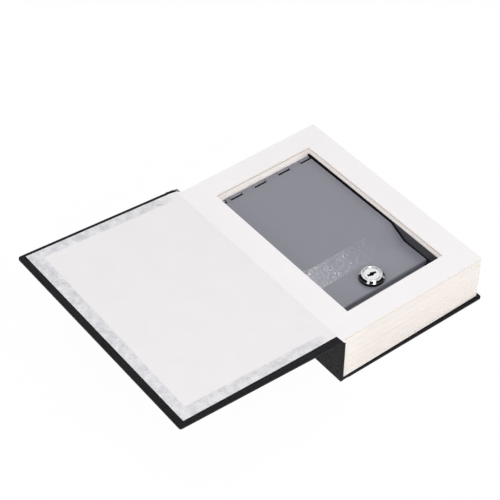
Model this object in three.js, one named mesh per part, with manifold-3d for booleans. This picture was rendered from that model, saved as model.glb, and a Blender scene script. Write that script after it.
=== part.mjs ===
// A book diversion safe: a hardback book whose glued pages hold a small steel cash box.
// Millimetres. +X runs from the spine to the fore-edge, +Y from the tail to the head, +Z up.
// The origin is the middle of the page block's footprint, on the underside of the back cover.
import * as THREE from 'three';
import { mergeVertices } from 'three/addons/utils/BufferGeometryUtils.js';
import Module from 'manifold-3d';

const wasm = await Module();
wasm.setup();

// Sheet goods of the book
const boardThickness = 2.2;
const clothThickness = 0.35;
const paperThickness = 0.25;
const cardThickness = 1.6;
const glueGap = 0.1;

// Page block and the window cut through it
const pageWidth = 150;
const pageLength = 220;
const pageStack = 42.65;
const spineMargin = 21.5;
const foreMargin = 23.5;
const tailMargin = 22.5;
const headMargin = 22;

// Case: boards, squares, joints and turned-in cloth
const square = 3.3;
const frontSquare = 4.5;
const jointWidth = 8;
const turnIn = 14;
const grooveRise = 1.2;
const boardCornerRadius = 1.5;
const clothCornerRadius = 2;
const hingeStandoff = 1.5;
const flareRadius = 1;
const hingeClearance = 0.2;
const coverSeatGap = 0.3;
const coverOpenAngle = 174.4;

// Paste-down: how far the paper stays back from the edges of the front cover
const pasteForeMargin = 4.5;
const pasteHeadMargin = 2.6;
const pasteTailMarginAtFore = 4.5;
const pasteTailMarginAtHinge = 7.3;

// Steel box
const boxSheet = 0.9;
const boxClearance = 0.3;
const boxCornerRadius = 2.4;
const rimDrop = 6.8;

// Lid: a single joggled sheet with a sunk lock panel at the tail end
const lidDrop = 8.5;
const lidSideGap = 0.7;
const lidFrontInset = 16.5;
const rampFoot = 45;
const rampHead = 62.5;
const recessDepth = 8.7;
const rampBendRadius = 4;
const lipBendRadius = 1.3;
const lipDepth = 5;

// Hinge of the lid: eight rolled knuckles on one pin
const pinRadius = 1;
const pinClearance = 0.15;
const knuckleCount = 8;
const knuckleGap = 0.4;
const hingeSlot = 1;
const curlAngle = 285;

// Strike ledge that the cam turns under
const ledgeThickness = 1.2;
const ledgeLap = 1.7;
const ledgeSeatGap = 0.2;
const ledgeLegDepth = 12;
const ledgeBendRadius = 1.6;

// Cam lock
const lockInset = 29;
const lockHeadRadius = 11.2;
const lockFaceRadius = 9.15;
const lockHeadHeight = 5;
const lockSkirt = 1.1;
const lockRimWidth = 1;
const lockFaceSink = 0.4;
const lockBodyRadius = 9;
const lockBodyFlats = 15.5;
const lockBodyDepth = 11;
const lockFit = 0.15;
const plugRadius = 5.5;
const plugFlangeRadius = 6.8;
const plugFlangeThickness = 1.6;
const plugFit = 0.2;
const keySlotLength = 8.3;
const keySlotWidth = 1.7;
const keySlotJog = 1.2;
const keySlotFloor = 1.6;
const waferCount = 4;
const waferThickness = 0.6;
const waferWidth = 5.8;
const waferFit = 0.15;
const waferPitch = 2.4;
const waferTravel = 0.6;
const waferWindowWidth = 3;
const waferRim = 0.9;
const washerThickness = 0.7;
const nutThickness = 3.2;
const nutAcrossFlats = 21.4;
const stackGap = 0.1;

// Cam and its fixing
const camThickness = 1.5;
const camLength = 24;
const camRootRadius = 7;
const camTipRadius = 5;
const camCrankStart = 10.4;
const camCrankRun = 2.8;
const camBendRadius = 1.4;
const camLedgeGap = 0.4;
const tailSquare = 7;
const studRadius = 2.2;
const camWasherRadius = 4.6;
const camWasherThickness = 0.7;
const camNutAcrossFlats = 8;
const camNutThickness = 2.4;
const studOverrun = 0.5;

// Faces per full circle, and the extra depth of every cut
const roundSteps = 64;
const smallRoundSteps = 24;
const bendSteps = 5;
const cutOverrun = 1;

// Heights, worked out from the underside of the back cover upwards
const boardBottom = clothThickness + glueGap;
const turnInBottom = boardBottom + boardThickness + glueGap;
const backPaperBottom = turnInBottom + clothThickness + glueGap;
const blockBottom = backPaperBottom + paperThickness + glueGap;
const cardBottom = blockBottom + pageStack + glueGap;
const flyleafBottom = cardBottom + cardThickness + glueGap;
const pageTop = flyleafBottom + paperThickness;
const boxBottom = blockBottom + glueGap;
const rimZ = pageTop - rimDrop;
const lidTop = pageTop - lidDrop;
const lowPanelTop = lidTop - recessDepth;
const lowPanelUnder = lowPanelTop - boxSheet;
const lipBottom = lowPanelTop - lipDepth;
const ledgeTop = lipBottom - ledgeSeatGap;
const camTop = ledgeTop - ledgeThickness - camLedgeGap;

// Places along X and Y
const coverHalfLength = pageLength / 2 + square;
const spineInner = -pageWidth / 2 - glueGap;
const spineBoardInner = spineInner - clothThickness - glueGap;
const spineBoardOuter = spineBoardInner - boardThickness;
const spineClothInner = spineBoardOuter - glueGap;
const spineOuter = spineClothInner - clothThickness;
const windowLeft = -pageWidth / 2 + spineMargin;
const windowRight = pageWidth / 2 - foreMargin;
const windowTail = -pageLength / 2 + tailMargin;
const windowHead = pageLength / 2 - headMargin;
const windowMiddle = (windowLeft + windowRight) / 2;
const boxLeft = windowLeft + boxClearance;
const boxRight = windowRight - boxClearance;
const boxTail = windowTail + boxClearance;
const boxHead = windowHead - boxClearance;
const lidLeft = boxLeft + boxSheet + lidSideGap;
const lidRight = boxRight - boxSheet - lidSideGap;
const lidFront = windowTail + lidFrontInset;
const knuckleRadius = pinRadius + pinClearance + boxSheet;
const hingeY = boxHead - knuckleRadius;
const hingeZ = lidTop - knuckleRadius;
const lockY = windowTail + lockInset;

// Front cover, drawn shut about its hinge line, then turned open
const coverFold = spineOuter - hingeStandoff;
const coverReach = pageWidth / 2 + frontSquare - coverFold;
const coverInner = -(glueGap + paperThickness + glueGap + clothThickness + glueGap / 2);
const coverFoldZ = pageTop + coverSeatGap - coverInner;
const spineTopZ = coverFoldZ - clothThickness / 2 - hingeClearance;

// Material of one piece
function finish(color, roughness, metalness) {
  return new THREE.MeshStandardMaterial({ color, roughness, metalness });
}

const paperWhite = () => finish(0xf3f1f2, 0.9, 0);
const pageCream = () => finish(0xf0e9db, 0.95, 0);
const greyBoard = () => finish(0x8f8a80, 0.95, 0);
const blackCloth = () => finish(0x1d1c20, 0.6, 0);
const greySteel = () => finish(0x82828b, 0.45, 0.4);
const bareSteel = () => finish(0xb0b2b5, 0.3, 1);
const chrome = () => finish(0xd8dadd, 0.12, 1);
const brass = () => finish(0xc2a25a, 0.3, 1);

// A closed mesh as a solid that can be cut and joined
function solid(geometry) {
  const bare = geometry.clone();
  bare.deleteAttribute('normal');
  bare.deleteAttribute('uv');
  const merged = mergeVertices(bare);
  const vertProperties = new Float32Array(merged.attributes.position.array);
  const triVerts = new Uint32Array(merged.index.array);
  return new wasm.Manifold(new wasm.Mesh({ numProp: 3, vertProperties, triVerts }));
}

// A solid as a drawable geometry
function geometryOf(body) {
  const { vertProperties, triVerts } = body.getMesh();
  const geometry = new THREE.BufferGeometry();
  geometry.setAttribute('position', new THREE.BufferAttribute(new Float32Array(vertProperties), 3));
  geometry.setIndex(new THREE.BufferAttribute(new Uint32Array(triVerts), 1));
  geometry.computeVertexNormals();
  return geometry;
}

// A named piece
function piece(name, body, material) {
  const mesh = new THREE.Mesh(geometryOf(body), material);
  mesh.name = name;
  return mesh;
}

// A straight-sided slab between two corners
function slab(x0, x1, y0, y1, z0, z1) {
  const geometry = new THREE.BoxGeometry(x1 - x0, y1 - y0, z1 - z0);
  geometry.translate((x0 + x1) / 2, (y0 + y1) / 2, (z0 + z1) / 2);
  return solid(geometry);
}

// A flat outline raised from z0 to z1
function raise(shape, z0, z1) {
  const geometry = new THREE.ExtrudeGeometry(shape, {
    depth: z1 - z0,
    bevelEnabled: false,
    curveSegments: bendSteps,
  });
  geometry.translate(0, 0, z0);
  return solid(geometry);
}

// A rectangle with rounded corners
function roundedRectangle(x0, x1, y0, y1, radius) {
  const shape = new THREE.Shape();
  shape.absarc(x1 - radius, y1 - radius, radius, 0, Math.PI / 2, false);
  shape.absarc(x0 + radius, y1 - radius, radius, Math.PI / 2, Math.PI, false);
  shape.absarc(x0 + radius, y0 + radius, radius, Math.PI, 1.5 * Math.PI, false);
  shape.absarc(x1 - radius, y0 + radius, radius, 1.5 * Math.PI, 2 * Math.PI, false);
  shape.closePath();
  return shape;
}

// A slab with rounded upright corners
function plate(x0, x1, y0, y1, radius, z0, z1) {
  return raise(roundedRectangle(x0, x1, y0, y1, radius), z0, z1);
}

// A profile drawn in Y and Z, run along X
function runAlongX(shape, x0, x1) {
  const geometry = new THREE.ExtrudeGeometry(shape, { depth: x1 - x0, bevelEnabled: false });
  const alongY = new THREE.Vector3(0, 1, 0);
  const alongZ = new THREE.Vector3(0, 0, 1);
  const alongX = new THREE.Vector3(1, 0, 0);
  geometry.applyMatrix4(new THREE.Matrix4().makeBasis(alongY, alongZ, alongX));
  geometry.translate(x0, 0, 0);
  return solid(geometry);
}

// A profile drawn in X and Z, run along Y
function runAlongY(shape, y0, y1) {
  const geometry = new THREE.ExtrudeGeometry(shape, { depth: y1 - y0, bevelEnabled: false });
  const alongX = new THREE.Vector3(1, 0, 0);
  const alongZ = new THREE.Vector3(0, 0, 1);
  const backY = new THREE.Vector3(0, -1, 0);
  geometry.applyMatrix4(new THREE.Matrix4().makeBasis(alongX, alongZ, backY));
  geometry.translate(0, y1, 0);
  return solid(geometry);
}

// Points of an arc, angles in degrees
function arcPoints(centreX, centreY, radius, from, to, steps) {
  const points = [];
  for (let i = 0; i <= steps; i += 1) {
    const angle = THREE.MathUtils.degToRad(from + ((to - from) * i) / steps);
    points.push(new THREE.Vector2(centreX + radius * Math.cos(angle), centreY + radius * Math.sin(angle)));
  }
  return points;
}

// A chain of points with every inner corner rounded to a radius
function bend(corners, radii) {
  const points = [corners[0]];
  for (let i = 1; i < corners.length - 1; i += 1) {
    const back = corners[i - 1].clone().sub(corners[i]).normalize();
    const ahead = corners[i + 1].clone().sub(corners[i]).normalize();
    const halfAngle = Math.acos(THREE.MathUtils.clamp(back.dot(ahead), -1, 1)) / 2;
    const setback = radii[i - 1] / Math.tan(halfAngle);
    const toCentre = back.clone().add(ahead).normalize();
    const centre = corners[i].clone().addScaledVector(toCentre, radii[i - 1] / Math.sin(halfAngle));
    const start = corners[i].clone().addScaledVector(back, setback).sub(centre);
    const end = corners[i].clone().addScaledVector(ahead, setback).sub(centre);
    const turn = Math.atan2(start.cross(end), start.dot(end));
    for (let step = 0; step <= bendSteps; step += 1) {
      points.push(start.clone().rotateAround(new THREE.Vector2(), (turn * step) / bendSteps).add(centre));
    }
  }
  points.push(corners[corners.length - 1]);
  return points;
}

// Unit vector to the left of the way from one point to the next
function leftOf(from, to) {
  const along = to.clone().sub(from).normalize();
  return new THREE.Vector2(-along.y, along.x);
}

// The outline of a bent sheet from the points of its middle line, mitred where the line turns
function sheetOutline(points, thickness) {
  const left = [];
  const right = [];
  const last = points.length - 1;
  for (let i = 0; i <= last; i += 1) {
    const arriving = leftOf(points[Math.max(i - 1, 0)], points[Math.max(i, 1)]);
    const leaving = leftOf(points[Math.min(i, last - 1)], points[Math.min(i + 1, last)]);
    const mitre = arriving.clone().add(leaving).normalize();
    const reach = thickness / 2 / mitre.dot(arriving);
    left.push(points[i].clone().addScaledVector(mitre, reach));
    right.unshift(points[i].clone().addScaledVector(mitre, -reach));
  }
  return new THREE.Shape([...left, ...right]);
}

// A round bar standing along Z
function bar(radius, z0, z1, steps) {
  const geometry = new THREE.CylinderGeometry(radius, radius, z1 - z0, steps);
  geometry.rotateX(Math.PI / 2);
  geometry.translate(0, 0, (z0 + z1) / 2);
  return solid(geometry);
}

// A hexagon bar along Z, with two of its flats facing the tail and the head
function hexBar(acrossFlats, z0, z1) {
  const radius = acrossFlats / Math.sqrt(3);
  const geometry = new THREE.CylinderGeometry(radius, radius, z1 - z0, 6);
  geometry.rotateX(Math.PI / 2);
  geometry.rotateZ(Math.PI / 2);
  geometry.translate(0, 0, (z0 + z1) / 2);
  return solid(geometry);
}

// A revolved profile about Z, points as radius and height
function revolve(points, steps) {
  const profile = points.map(([radius, height]) => new THREE.Vector2(radius, height));
  const geometry = new THREE.LatheGeometry(profile, steps);
  geometry.rotateX(Math.PI / 2);
  return solid(geometry);
}

// Back cover: board wrapped in cloth, whose turned-in edges stop short of the middle,
// and the groove of the joint, where the cloth rises a little between board and spine
function backCover() {
  const boardLeft = spineOuter + jointWidth;
  const clothRight = pageWidth / 2 + square;
  const boardRight = clothRight - boardBottom;
  const boardHalf = coverHalfLength - boardBottom;
  const clothLeft = boardLeft - boardBottom;
  const clothTop = turnInBottom + clothThickness;
  const board = plate(boardLeft, boardRight, -boardHalf, boardHalf, boardCornerRadius,
    boardBottom, boardBottom + boardThickness);
  const cavity = plate(boardLeft - glueGap, boardRight + glueGap, -boardHalf - glueGap, boardHalf + glueGap,
    boardCornerRadius, clothThickness, turnInBottom);
  const betweenTurnIns = slab(boardLeft - glueGap, clothRight - turnIn, -coverHalfLength + turnIn,
    coverHalfLength - turnIn, clothThickness, clothTop + cutOverrun);
  const grooveLeft = spineInner - clothThickness;
  const grooveRight = clothLeft + clothCornerRadius;
  const groove = slab(grooveLeft, grooveRight, -coverHalfLength, coverHalfLength, grooveRise, clothTop);
  const aboveGroove = slab(grooveLeft - cutOverrun, clothLeft, -coverHalfLength + turnIn,
    coverHalfLength - turnIn, grooveRise + clothThickness, clothTop + cutOverrun);
  const wrap = plate(clothLeft, clothRight, -coverHalfLength, coverHalfLength, clothCornerRadius,
    0, clothTop);
  const cloth = wrap.add(groove).subtract(cavity).subtract(betweenTurnIns).subtract(aboveGroove);
  return [
    piece('back_board', board, greyBoard()),
    piece('back_cover_cloth', cloth, blackCloth()),
  ];
}

// White paper pasted inside the back cover, with the pages glued on it; it sinks between the turned-in edges
function backPastedown() {
  const right = pageWidth / 2;
  const half = pageLength / 2;
  const sunkLeft = spineOuter + jointWidth + glueGap;
  const sunkRight = right + square - turnIn - glueGap;
  const sunkHalf = coverHalfLength - turnIn - glueGap;
  const paperTop = backPaperBottom + paperThickness;
  const sunk = slab(sunkLeft, sunkRight, -sunkHalf, sunkHalf, turnInBottom, paperTop - paperThickness / 2);
  const sheet = slab(spineInner + glueGap, right, -half, half, backPaperBottom, paperTop);
  return piece('back_pastedown', sheet.add(sunk), paperWhite());
}

// Spine: board with cloth round its outer face, foot and both ends; the cloth flares out to the front joint
function spine() {
  const boardTop = spineTopZ - boardBottom;
  const boardHalf = coverHalfLength - boardBottom;
  const board = slab(spineBoardOuter, spineBoardInner, -boardHalf, boardHalf, boardBottom, boardTop);
  const middle = spineOuter + clothThickness / 2;
  const flareEnd = coverFold + hingeClearance;
  const flareZ = spineTopZ - clothThickness / 2;
  const outerLine = bend([
    new THREE.Vector2(middle, 0),
    new THREE.Vector2(middle, flareZ),
    new THREE.Vector2(flareEnd, flareZ),
  ], [flareRadius]);
  const outer = runAlongY(sheetOutline(outerLine, clothThickness), -coverHalfLength, coverHalfLength);
  const innerFace = spineInner - clothThickness;
  const cavity = slab(spineClothInner, innerFace, -boardHalf - glueGap, boardHalf + glueGap,
    clothThickness, boardTop + cutOverrun);
  const betweenTurnIns = slab(spineClothInner, spineInner + cutOverrun, -coverHalfLength + turnIn,
    coverHalfLength - turnIn, grooveRise - glueGap, boardTop + cutOverrun);
  const grooveRoom = slab(innerFace - glueGap, spineInner + cutOverrun, -coverHalfLength - cutOverrun,
    coverHalfLength + cutOverrun, grooveRise - glueGap, turnInBottom + clothThickness + glueGap);
  const cloth = slab(middle, spineInner, -coverHalfLength, coverHalfLength, 0, boardTop)
    .subtract(cavity)
    .subtract(betweenTurnIns)
    .subtract(grooveRoom)
    .add(outer);
  return [
    piece('spine_board', board, greyBoard()),
    piece('spine_cloth', cloth, blackCloth()),
  ];
}

// A flat layer of the page block with the window cut through it
function windowedLayer(z0, z1) {
  return slab(-pageWidth / 2, pageWidth / 2, -pageLength / 2, pageLength / 2, z0, z1)
    .subtract(slab(windowLeft, windowRight, windowTail, windowHead, z0 - cutOverrun, z1 + cutOverrun));
}

// The glued pages, the card that stiffens their top and the front flyleaf
function pages() {
  return [
    piece('page_block', windowedLayer(blockBottom, blockBottom + pageStack), pageCream()),
    piece('top_card', windowedLayer(cardBottom, cardBottom + cardThickness), paperWhite()),
    piece('front_flyleaf', windowedLayer(flyleafBottom, pageTop), paperWhite()),
  ];
}

// Front cover in its own frame: X from the hinge line to the fore-edge and Z up, with the cover shut
function frontCover() {
  const paperStart = -pageWidth / 2 - coverFold + glueGap;
  const paperTop = coverInner + paperThickness;
  const turnInFrom = paperTop + glueGap;
  const turnInTo = turnInFrom + clothThickness;
  const boardFrom = turnInTo + glueGap;
  const boardTo = boardFrom + boardThickness;
  const outerFrom = boardTo + glueGap;
  const outerTo = outerFrom + clothThickness;
  const half = coverHalfLength;
  const boardRight = coverReach - boardBottom;
  const boardHalf = half - boardBottom;
  const board = plate(jointWidth, boardRight, -boardHalf, boardHalf, boardCornerRadius, boardFrom, boardTo);
  const clothLeft = jointWidth - boardBottom;
  const clothLap = clothLeft + clothCornerRadius;
  const jointTop = clothThickness / 2;
  const joint = slab(hingeClearance, clothLap, -half, half, -jointTop, jointTop);
  const jointTurnIns = slab(paperStart, clothLap, -half, half, turnInFrom, -jointTop);
  const cavity = plate(jointWidth - glueGap, boardRight + glueGap, -boardHalf - glueGap, boardHalf + glueGap,
    boardCornerRadius, turnInTo, outerFrom);
  const betweenTurnIns = slab(paperStart - cutOverrun, coverReach - turnIn, -half + turnIn, half - turnIn,
    turnInFrom - cutOverrun, -jointTop);
  const overBoard = slab(jointWidth - glueGap, coverReach - turnIn, -half + turnIn, half - turnIn,
    turnInFrom - cutOverrun, outerFrom);
  const cloth = plate(clothLeft, coverReach, -half, half, clothCornerRadius, turnInFrom, outerTo)
    .add(joint)
    .add(jointTurnIns)
    .subtract(cavity)
    .subtract(betweenTurnIns)
    .subtract(overBoard);
  const pasteRight = coverReach - pasteForeMargin;
  const pasteOutline = new THREE.Shape([
    new THREE.Vector2(paperStart, -half + pasteTailMarginAtHinge),
    new THREE.Vector2(pasteRight, -half + pasteTailMarginAtFore),
    new THREE.Vector2(pasteRight, half - pasteHeadMargin),
    new THREE.Vector2(paperStart, half - pasteHeadMargin),
  ]);
  const sunkHalf = half - turnIn - glueGap;
  const sunk = slab(paperStart, coverReach - turnIn - glueGap, -sunkHalf, sunkHalf,
    coverInner + paperThickness / 2, -jointTop - glueGap);
  const paste = raise(pasteOutline, coverInner, paperTop).add(sunk);
  const group = new THREE.Group();
  group.add(piece('front_board', board, greyBoard()));
  group.add(piece('front_cover_cloth', cloth, blackCloth()));
  group.add(piece('front_pastedown', paste, paperWhite()));
  group.position.set(coverFold, 0, coverFoldZ);
  group.rotation.y = THREE.MathUtils.degToRad(-coverOpenAngle);
  return group;
}

// Where one knuckle of the hinge starts along X; even numbers belong to the lid
function knuckleSpan(index) {
  const width = (lidRight - lidLeft) / knuckleCount;
  return [lidLeft + width * index + knuckleGap / 2, lidLeft + width * (index + 1) - knuckleGap / 2];
}

// Steel tray: rounded corners, plain rim, and a head wall whose top edge is rolled into every second knuckle
function boxShell() {
  const innerRadius = boxCornerRadius - boxSheet;
  const innerLeft = boxLeft + boxSheet;
  const innerRight = boxRight - boxSheet;
  const innerTail = boxTail + boxSheet;
  const innerHead = boxHead - boxSheet;
  const cutTop = rimZ + cutOverrun;
  const inside = plate(innerLeft, innerRight, innerTail, innerHead, innerRadius,
    boxBottom + boxSheet, cutTop);
  const overHinge = slab(lidLeft - lidSideGap / 2, lidRight + lidSideGap / 2, innerHead - cutOverrun,
    boxHead + cutOverrun, hingeZ, cutTop);
  let shell = plate(boxLeft, boxRight, boxTail, boxHead, boxCornerRadius, boxBottom, rimZ)
    .subtract(inside)
    .subtract(overHinge);
  const curlRadius = knuckleRadius - boxSheet / 2;
  for (let index = 0; index < knuckleCount; index += 1) {
    const [from, to] = knuckleSpan(index);
    if (index % 2 === 0) {
      shell = shell.subtract(slab(from - knuckleGap, to + knuckleGap, innerHead - cutOverrun,
        boxHead + cutOverrun, hingeZ - knuckleRadius - hingeSlot, cutTop));
    } else {
      const line = [
        new THREE.Vector2(hingeY + curlRadius, hingeZ - knuckleRadius),
        ...arcPoints(hingeY, hingeZ, curlRadius, 0, curlAngle, smallRoundSteps),
      ];
      shell = shell.add(runAlongX(sheetOutline(line, boxSheet), from, to));
    }
  }
  return piece('box_shell', shell, greySteel());
}

// Strike ledge: an angle welded inside the tail wall, which holds up the lid's lip and takes the cam
function strikeLedge() {
  const wallFace = boxTail + boxSheet + glueGap;
  const middleY = wallFace + ledgeThickness / 2;
  const middleZ = ledgeTop - ledgeThickness / 2;
  const line = bend([
    new THREE.Vector2(middleY, ledgeTop - ledgeLegDepth),
    new THREE.Vector2(middleY, middleZ),
    new THREE.Vector2(lidFront + ledgeLap, middleZ),
  ], [ledgeBendRadius]);
  const sideGap = boxCornerRadius + glueGap;
  const ledge = runAlongX(sheetOutline(line, ledgeThickness), boxLeft + sideGap, boxRight - sideGap);
  return piece('strike_ledge', ledge, greySteel());
}

// Hinge pin through all eight knuckles
function hingePin() {
  const pin = bar(pinRadius, lidLeft, lidRight, smallRoundSteps)
    .rotate([0, 90, 0])
    .translate([0, hingeY, hingeZ]);
  return piece('hinge_pin', pin, bareSteel());
}

// Lid: lip, sunk lock panel, ramp and main panel in one bent sheet, with four rolled knuckles
function lid() {
  const half = boxSheet / 2;
  const panelEnd = hingeY - knuckleRadius - hingeSlot;
  const line = bend([
    new THREE.Vector2(lidFront + half, lipBottom),
    new THREE.Vector2(lidFront + half, lowPanelTop - half),
    new THREE.Vector2(windowTail + rampFoot, lowPanelTop - half),
    new THREE.Vector2(windowTail + rampHead, lidTop - half),
    new THREE.Vector2(panelEnd, lidTop - half),
  ], [lipBendRadius, rampBendRadius, rampBendRadius]);
  let sheet = runAlongX(sheetOutline(line, boxSheet), lidLeft, lidRight);
  const curlRadius = knuckleRadius - half;
  for (let index = 0; index < knuckleCount; index += 2) {
    const [from, to] = knuckleSpan(index);
    const curl = [
      new THREE.Vector2(panelEnd - half, lidTop - half),
      ...arcPoints(hingeY, hingeZ, curlRadius, 90, 90 - curlAngle, smallRoundSteps),
    ];
    sheet = sheet.add(runAlongX(sheetOutline(curl, boxSheet), from, to));
  }
  const hole = bar(lockBodyRadius + lockFit, lowPanelUnder - cutOverrun, lowPanelTop + cutOverrun, roundSteps)
    .intersect(slab(-lockBodyRadius - cutOverrun, lockBodyRadius + cutOverrun, -lockBodyFlats / 2 - lockFit,
      lockBodyFlats / 2 + lockFit, lowPanelUnder - cutOverrun, lowPanelTop + cutOverrun));
  return piece('lid', sheet.subtract(hole.translate([windowMiddle, lockY, 0])), greySteel());
}

// Heights inside the lock, from the top of the sunk panel
const bodyEnd = -boxSheet - lockBodyDepth;
const faceHeight = lockHeadHeight - lockFaceSink;
const flangeSeat = faceHeight - plugFlangeThickness;
const waferTop = -boxSheet;
const grooveRadius = plugRadius + plugFit + waferTravel + waferFit;

// Middle height of one wafer
function waferHeight(index) {
  return waferTop - waferPitch * index;
}

// Lock housing: flanged head, body with two flats, stepped bore and four wafer grooves
function lockHousing() {
  const profile = [
    [0, bodyEnd],
    [lockBodyRadius - lockFit, bodyEnd],
    [lockBodyRadius, bodyEnd + lockFit],
    [lockBodyRadius, stackGap],
    [lockHeadRadius, stackGap],
    [lockHeadRadius, lockSkirt],
    [lockFaceRadius + lockRimWidth / 2, lockHeadHeight - lockRimWidth / 2],
    [lockFaceRadius, lockHeadHeight],
    [lockFaceRadius - lockRimWidth, lockHeadHeight],
    [lockFaceRadius - lockRimWidth - lockFaceSink, faceHeight],
    [0, faceHeight],
  ];
  const flatCut = slab(-lockHeadRadius, lockHeadRadius, lockBodyFlats / 2, lockHeadRadius,
    bodyEnd - cutOverrun, stackGap);
  const grooveHalf = waferWidth / 2 + waferFit * 2;
  const grooveBottom = waferHeight(waferCount - 1) - waferPitch / 2;
  const groove = slab(-grooveRadius, grooveRadius, -grooveHalf, grooveHalf,
    grooveBottom, waferTop + waferPitch / 2);
  const body = revolve(profile, roundSteps)
    .subtract(flatCut)
    .subtract(flatCut.rotate([0, 0, 180]))
    .subtract(bar(plugRadius + plugFit, bodyEnd - cutOverrun, faceHeight + cutOverrun, roundSteps))
    .subtract(bar(plugFlangeRadius + plugFit, flangeSeat - plugFit, faceHeight + cutOverrun, roundSteps))
    .subtract(groove)
    .subtract(groove.rotate([0, 0, 90]));
  return piece('lock_housing', body, chrome());
}

// Ring with a round hole
function ring(outerRadius, holeRadius, z0, z1, steps) {
  return bar(outerRadius, z0, z1, steps).subtract(bar(holeRadius, z0 - cutOverrun, z1 + cutOverrun, steps));
}

// Washer and nut that clamp the housing to the lid
function lockFixings() {
  const washerTop = -boxSheet - stackGap;
  const washerBottom = washerTop - washerThickness;
  const nutTop = washerBottom - stackGap;
  const nutBottom = nutTop - nutThickness;
  const hole = bar(lockBodyRadius + lockFit, nutBottom - cutOverrun, washerTop + cutOverrun, roundSteps);
  const washer = ring(nutAcrossFlats / 2, lockBodyRadius + lockFit, washerBottom, washerTop, roundSteps);
  const nut = hexBar(nutAcrossFlats, nutBottom, nutTop).subtract(hole);
  return [
    piece('lock_washer', washer, bareSteel()),
    piece('lock_nut', nut, bareSteel()),
  ];
}

// The zigzag outline of the key slot, long side along X
function keySlot() {
  const half = keySlotLength / 2;
  const side = keySlotWidth / 2;
  const jog = keySlotJog / 2;
  return new THREE.Shape([
    new THREE.Vector2(-half, -jog - side),
    new THREE.Vector2(jog, -jog - side),
    new THREE.Vector2(jog + side, jog - side),
    new THREE.Vector2(half, jog - side),
    new THREE.Vector2(half, jog + side),
    new THREE.Vector2(-jog, jog + side),
    new THREE.Vector2(-jog - side, side - jog),
    new THREE.Vector2(-half, side - jog),
  ]);
}

// Heights below the housing: cam, washer, nut and the end of the stud
const camRootTop = bodyEnd - stackGap - lockFit;
const camRootBottom = camRootTop - camThickness;
const camWasherTop = camRootBottom - stackGap;
const camNutTop = camWasherTop - camWasherThickness - stackGap;
const studEnd = camNutTop - camNutThickness - studOverrun;

// Lock plug: flanged face, key slot, wafer slots, square tail and stud
function lockPlug() {
  const tailHalf = tailSquare / 2;
  const squareTail = slab(-tailHalf, tailHalf, -tailHalf, tailHalf,
    camRootBottom + stackGap, camRootTop + lockFit);
  let plug = bar(plugRadius, camRootTop + stackGap, flangeSeat + stackGap, roundSteps)
    .add(bar(plugFlangeRadius, flangeSeat, faceHeight, roundSteps))
    .add(squareTail)
    .add(bar(studRadius, studEnd, camRootBottom + lockFit, smallRoundSteps))
    .subtract(raise(keySlot(), bodyEnd + keySlotFloor, faceHeight + cutOverrun));
  for (let index = 0; index < waferCount; index += 1) {
    const middle = waferHeight(index);
    const halfWidth = waferWidth / 2 + waferFit;
    const halfDepth = waferThickness / 2 + waferFit;
    plug = plug.subtract(slab(-plugRadius - cutOverrun, plugRadius + cutOverrun, -halfWidth, halfWidth,
      middle - halfDepth, middle + halfDepth));
  }
  return piece('lock_plug', plug, chrome());
}

// Wafer tumblers: flat plates with a window for the key, flush with the plug
function wafers() {
  const list = [];
  for (let index = 0; index < waferCount; index += 1) {
    const middle = waferHeight(index);
    const z0 = middle - waferThickness / 2;
    const z1 = middle + waferThickness / 2;
    const reach = plugRadius - waferFit;
    const windowHalf = reach - waferRim;
    const keyWindow = slab(-windowHalf, windowHalf, -waferWindowWidth / 2, waferWindowWidth / 2,
      z0 - cutOverrun, z1 + cutOverrun);
    const wafer = bar(reach, z0, z1, roundSteps)
      .intersect(slab(-plugRadius, plugRadius, -waferWidth / 2, waferWidth / 2, z0, z1))
      .subtract(keyWindow);
    list.push(piece(`wafer_${index + 1}`, wafer, brass()));
  }
  return list;
}

// Cam: a cranked arm, parked towards the spine, that rises to just under the strike ledge when it is turned
function cam() {
  const rootMiddle = camRootTop - camThickness / 2;
  const tipMiddle = camTop - lowPanelTop - camThickness / 2;
  const line = bend([
    new THREE.Vector2(camRootRadius + cutOverrun, rootMiddle),
    new THREE.Vector2(-camCrankStart, rootMiddle),
    new THREE.Vector2(-camCrankStart - camCrankRun, tipMiddle),
    new THREE.Vector2(-camLength - cutOverrun, tipMiddle),
  ], [camBendRadius, camBendRadius]);
  const outline = new THREE.Shape();
  outline.absarc(0, 0, camRootRadius, -Math.PI / 2, Math.PI / 2, false);
  outline.absarc(camTipRadius - camLength, 0, camTipRadius, Math.PI / 2, 1.5 * Math.PI, false);
  outline.closePath();
  const hole = tailSquare / 2 + lockFit;
  const halfWidth = camRootRadius + cutOverrun;
  const arm = runAlongY(sheetOutline(line, camThickness), -halfWidth, halfWidth)
    .intersect(raise(outline, camRootBottom - cutOverrun, tipMiddle + camThickness + cutOverrun))
    .subtract(slab(-hole, hole, -hole, hole, camRootBottom - cutOverrun, camRootTop + cutOverrun));
  return piece('cam', arm, bareSteel());
}

// Washer and nut that hold the cam on the plug's stud
function camFixings() {
  const holeRadius = studRadius + lockFit;
  const washerBottom = camWasherTop - camWasherThickness;
  const nutBottom = camNutTop - camNutThickness;
  const washer = ring(camWasherRadius, holeRadius, washerBottom, camWasherTop, smallRoundSteps);
  const hole = bar(holeRadius, nutBottom - cutOverrun, camNutTop + cutOverrun, smallRoundSteps);
  const nut = hexBar(camNutAcrossFlats, nutBottom, camNutTop).subtract(hole);
  return [
    piece('cam_washer', washer, bareSteel()),
    piece('cam_nut', nut, bareSteel()),
  ];
}

// The lock stands in the sunk panel, with its head on the panel's top
function lock() {
  const group = new THREE.Group();
  group.add(lockHousing(), ...lockFixings(), lockPlug(), ...wafers(), cam(), ...camFixings());
  group.position.set(windowMiddle, lockY, lowPanelTop);
  return group;
}

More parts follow.
